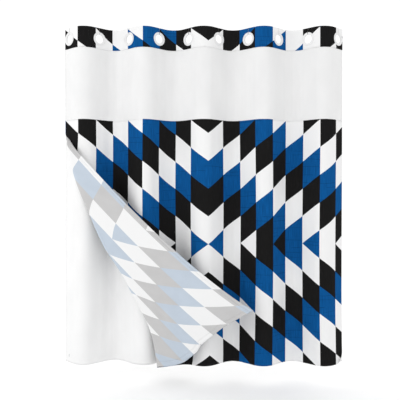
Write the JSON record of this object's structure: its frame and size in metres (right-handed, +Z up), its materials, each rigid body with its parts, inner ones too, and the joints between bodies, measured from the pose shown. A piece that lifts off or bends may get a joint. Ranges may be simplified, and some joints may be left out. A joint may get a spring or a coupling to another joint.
{
  "type": "shower curtain",
  "caption": "Cloth shower curtain with split rings set in its header, a sheer window, a printed panel with one lower corner turned back, and a liner that snaps in behind with hem magnets.",
  "frame": {"origin": "on the rod's axis, midway between the two end rings", "axes": "+X along the rod to the right, +Y from the room towards the bath, +Z up"},
  "size_m": [1.5646, 0.2182, 1.8801],
  "materials": {
    "printed_cloth": "matt woven polyester printed in blue, black and white",
    "sheer_cloth": "semi-sheer white voile",
    "lining_cloth": "plain white lining",
    "stiffener": "non-woven stiffener",
    "woven_tape": "white twill tape",
    "liner_cloth": "plain white water-repellent polyester",
    "ring_plastic": "glossy white moulded plastic",
    "snap_plastic": "white moulded press studs",
    "magnet_steel": "plated disc magnet"
  },
  "bodies": {
    "curtain": {"header_facing": "printed_cloth", "header_core": "stiffener", "header_backing": "lining_cloth", "window_panel": "sheer_cloth", "front_panel": "printed_cloth", "turned_corner": "printed_cloth", "snap_tape": "woven_tape", "ring_front_10": "ring_plastic", "ring_back_10": "ring_plastic"},
    "ring_01": {"ring_front_01": "ring_plastic", "ring_back_01": "ring_plastic"},
    "ring_02": {"ring_front_02": "ring_plastic", "ring_back_02": "ring_plastic"},
    "ring_03": {"ring_front_03": "ring_plastic", "ring_back_03": "ring_plastic"},
    "ring_04": {"ring_front_04": "ring_plastic", "ring_back_04": "ring_plastic"},
    "ring_05": {"ring_front_05": "ring_plastic", "ring_back_05": "ring_plastic"},
    "ring_06": {"ring_front_06": "ring_plastic", "ring_back_06": "ring_plastic"},
    "ring_07": {"ring_front_07": "ring_plastic", "ring_back_07": "ring_plastic"},
    "ring_08": {"ring_front_08": "ring_plastic", "ring_back_08": "ring_plastic"},
    "ring_09": {"ring_front_09": "ring_plastic", "ring_back_09": "ring_plastic"},
    "socket_01": {"snap_socket_01": "snap_plastic"},
    "socket_02": {"snap_socket_02": "snap_plastic"},
    "socket_03": {"snap_socket_03": "snap_plastic"},
    "socket_04": {"snap_socket_04": "snap_plastic"},
    "socket_05": {"snap_socket_05": "snap_plastic"},
    "socket_06": {"snap_socket_06": "snap_plastic"},
    "socket_07": {"snap_socket_07": "snap_plastic"},
    "socket_08": {"snap_socket_08": "snap_plastic"},
    "socket_09": {"snap_socket_09": "snap_plastic"},
    "liner": {"liner_panel": "liner_cloth", "liner_tape": "woven_tape", "liner_weight_4": "magnet_steel"},
    "stud_01": {"snap_stud_01": "snap_plastic"},
    "stud_02": {"snap_stud_02": "snap_plastic"},
    "stud_03": {"snap_stud_03": "snap_plastic"},
    "stud_04": {"snap_stud_04": "snap_plastic"},
    "stud_05": {"snap_stud_05": "snap_plastic"},
    "stud_06": {"snap_stud_06": "snap_plastic"},
    "stud_07": {"snap_stud_07": "snap_plastic"},
    "stud_08": {"snap_stud_08": "snap_plastic"},
    "stud_09": {"snap_stud_09": "snap_plastic"},
    "weight_1": {"liner_weight_1": "magnet_steel"},
    "weight_2": {"liner_weight_2": "magnet_steel"},
    "weight_3": {"liner_weight_3": "magnet_steel"}
  },
  "joints": [
    {"name": "curtain_draw", "type": "slide", "parent": "curtain", "child": "ring_01", "axis": [1, 0, 0], "range_m": [0, 0.93186], "deforming": ["header_facing", "header_core", "header_backing", "window_panel", "front_panel", "turned_corner", "snap_tape", "liner_panel", "liner_tape"]},
    {"name": "ring_02_slide", "type": "slide", "parent": "curtain", "child": "ring_02", "axis": [1, 0, 0], "range_m": [0, 0.82882]},
    {"name": "ring_03_slide", "type": "slide", "parent": "curtain", "child": "ring_03", "axis": [1, 0, 0], "range_m": [0, 0.72528]},
    {"name": "ring_04_slide", "type": "slide", "parent": "curtain", "child": "ring_04", "axis": [1, 0, 0], "range_m": [0, 0.62174]},
    {"name": "ring_05_slide", "type": "slide", "parent": "curtain", "child": "ring_05", "axis": [1, 0, 0], "range_m": [0, 0.5182]},
    {"name": "ring_06_slide", "type": "slide", "parent": "curtain", "child": "ring_06", "axis": [1, 0, 0], "range_m": [0, 0.41466]},
    {"name": "ring_07_slide", "type": "slide", "parent": "curtain", "child": "ring_07", "axis": [1, 0, 0], "range_m": [0, 0.31112]},
    {"name": "ring_08_slide", "type": "slide", "parent": "curtain", "child": "ring_08", "axis": [1, 0, 0], "range_m": [0, 0.20758]},
    {"name": "ring_09_slide", "type": "slide", "parent": "curtain", "child": "ring_09", "axis": [1, 0, 0], "range_m": [0, 0.10404]},
    {"name": "socket_01_slide", "type": "slide", "parent": "curtain", "child": "socket_01", "axis": [1, 0, 0], "range_m": [0, 0.88059]},
    {"name": "socket_02_slide", "type": "slide", "parent": "curtain", "child": "socket_02", "axis": [1, 0, 0], "range_m": [0, 0.77705]},
    {"name": "socket_03_slide", "type": "slide", "parent": "curtain", "child": "socket_03", "axis": [1, 0, 0], "range_m": [0, 0.67351]},
    {"name": "socket_04_slide", "type": "slide", "parent": "curtain", "child": "socket_04", "axis": [1, 0, 0], "range_m": [0, 0.56997]},
    {"name": "socket_05_slide", "type": "slide", "parent": "curtain", "child": "socket_05", "axis": [1, 0, 0], "range_m": [0, 0.46643]},
    {"name": "socket_06_slide", "type": "slide", "parent": "curtain", "child": "socket_06", "axis": [1, 0, 0], "range_m": [0, 0.36289]},
    {"name": "socket_07_slide", "type": "slide", "parent": "curtain", "child": "socket_07", "axis": [1, 0, 0], "range_m": [0, 0.25935]},
    {"name": "socket_08_slide", "type": "slide", "parent": "curtain", "child": "socket_08", "axis": [1, 0, 0], "range_m": [0, 0.15581]},
    {"name": "socket_09_slide", "type": "slide", "parent": "curtain", "child": "socket_09", "axis": [1, 0, 0], "range_m": [0, 0.05227]},
    {"name": "liner_unsnap", "type": "slide", "parent": "curtain", "child": "liner", "axis": [0, 1, 0], "range_m": [0, 0.15]},
    {"name": "stud_01_slide", "type": "slide", "parent": "liner", "child": "stud_01", "axis": [1, 0, 0], "range_m": [0, 0.88059]},
    {"name": "stud_02_slide", "type": "slide", "parent": "liner", "child": "stud_02", "axis": [1, 0, 0], "range_m": [0, 0.77705]},
    {"name": "stud_03_slide", "type": "slide", "parent": "liner", "child": "stud_03", "axis": [1, 0, 0], "range_m": [0, 0.67351]},
    {"name": "stud_04_slide", "type": "slide", "parent": "liner", "child": "stud_04", "axis": [1, 0, 0], "range_m": [0, 0.56997]},
    {"name": "stud_05_slide", "type": "slide", "parent": "liner", "child": "stud_05", "axis": [1, 0, 0], "range_m": [0, 0.46643]},
    {"name": "stud_06_slide", "type": "slide", "parent": "liner", "child": "stud_06", "axis": [1, 0, 0], "range_m": [0, 0.36289]},
    {"name": "stud_07_slide", "type": "slide", "parent": "liner", "child": "stud_07", "axis": [1, 0, 0], "range_m": [0, 0.25935]},
    {"name": "stud_08_slide", "type": "slide", "parent": "liner", "child": "stud_08", "axis": [1, 0, 0], "range_m": [0, 0.15581]},
    {"name": "stud_09_slide", "type": "slide", "parent": "liner", "child": "stud_09", "axis": [1, 0, 0], "range_m": [0, 0.05227]},
    {"name": "weight_1_slide", "type": "slide", "parent": "liner", "child": "weight_1", "axis": [1, 0, 0], "range_m": [0, 0.93186]},
    {"name": "weight_2_slide", "type": "slide", "parent": "liner", "child": "weight_2", "axis": [1, 0, 0], "range_m": [0, 0.62174]},
    {"name": "weight_3_slide", "type": "slide", "parent": "liner", "child": "weight_3", "axis": [1, 0, 0], "range_m": [0, 0.31112]}
  ],
  "couplings": [
    {"joint": "ring_02_slide", "follows": "curtain_draw", "ratio": 0.88889},
    {"joint": "ring_03_slide", "follows": "curtain_draw", "ratio": 0.77778},
    {"joint": "ring_04_slide", "follows": "curtain_draw", "ratio": 0.66667},
    {"joint": "ring_05_slide", "follows": "curtain_draw", "ratio": 0.55556},
    {"joint": "ring_06_slide", "follows": "curtain_draw", "ratio": 0.44444},
    {"joint": "ring_07_slide", "follows": "curtain_draw", "ratio": 0.33333},
    {"joint": "ring_08_slide", "follows": "curtain_draw", "ratio": 0.22222},
    {"joint": "ring_09_slide", "follows": "curtain_draw", "ratio": 0.11111},
    {"joint": "socket_01_slide", "follows": "curtain_draw", "ratio": 0.94444},
    {"joint": "socket_02_slide", "follows": "curtain_draw", "ratio": 0.83333},
    {"joint": "socket_03_slide", "follows": "curtain_draw", "ratio": 0.72222},
    {"joint": "socket_04_slide", "follows": "curtain_draw", "ratio": 0.61111},
    {"joint": "socket_05_slide", "follows": "curtain_draw", "ratio": 0.5},
    {"joint": "socket_06_slide", "follows": "curtain_draw", "ratio": 0.38889},
    {"joint": "socket_07_slide", "follows": "curtain_draw", "ratio": 0.27778},
    {"joint": "socket_08_slide", "follows": "curtain_draw", "ratio": 0.16667},
    {"joint": "socket_09_slide", "follows": "curtain_draw", "ratio": 0.055556},
    {"joint": "stud_01_slide", "follows": "curtain_draw", "ratio": 0.94444},
    {"joint": "stud_02_slide", "follows": "curtain_draw", "ratio": 0.83333},
    {"joint": "stud_03_slide", "follows": "curtain_draw", "ratio": 0.72222},
    {"joint": "stud_04_slide", "follows": "curtain_draw", "ratio": 0.61111},
    {"joint": "stud_05_slide", "follows": "curtain_draw", "ratio": 0.5},
    {"joint": "stud_06_slide", "follows": "curtain_draw", "ratio": 0.38889},
    {"joint": "stud_07_slide", "follows": "curtain_draw", "ratio": 0.27778},
    {"joint": "stud_08_slide", "follows": "curtain_draw", "ratio": 0.16667},
    {"joint": "stud_09_slide", "follows": "curtain_draw", "ratio": 0.055556},
    {"joint": "weight_1_slide", "follows": "curtain_draw", "ratio": 1},
    {"joint": "weight_2_slide", "follows": "curtain_draw", "ratio": 0.66667},
    {"joint": "weight_3_slide", "follows": "curtain_draw", "ratio": 0.33333}
  ]
}
